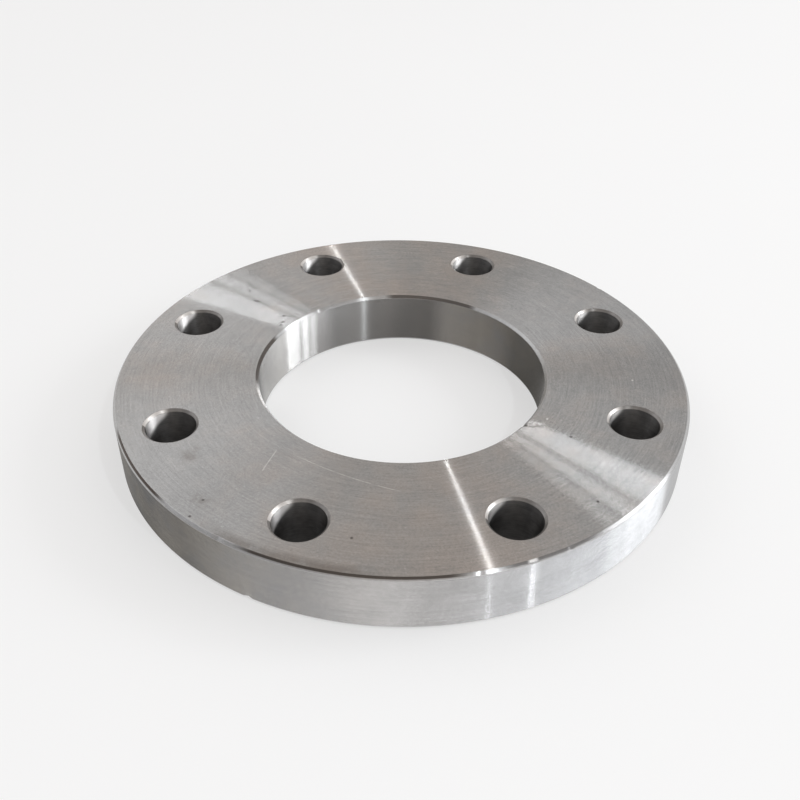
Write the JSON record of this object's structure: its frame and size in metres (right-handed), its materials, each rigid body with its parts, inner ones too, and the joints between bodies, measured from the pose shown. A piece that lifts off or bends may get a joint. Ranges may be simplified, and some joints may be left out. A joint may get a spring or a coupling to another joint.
{
  "type": "slip on flange",
  "caption": "Flat steel slip-on pipe flange: a turned ring with a plain bore for the pipe and a circle of drilled bolt holes, its edges lightly chamfered.",
  "frame": {"origin": "centre of the lower face, on the bore's axis", "axes": "+Z along the bore axis, from the lower face to the upper face; +X and +Y each pass midway between two bolt holes"},
  "size_m": [0.23, 0.23, 0.0235],
  "materials": {
    "machined_steel": "lathe-turned bare steel with fine circular tool marks, light scratches and a few faint stains"
  },
  "bodies": {
    "root": {"flange": "machined_steel"}
  },
  "joints": []
}
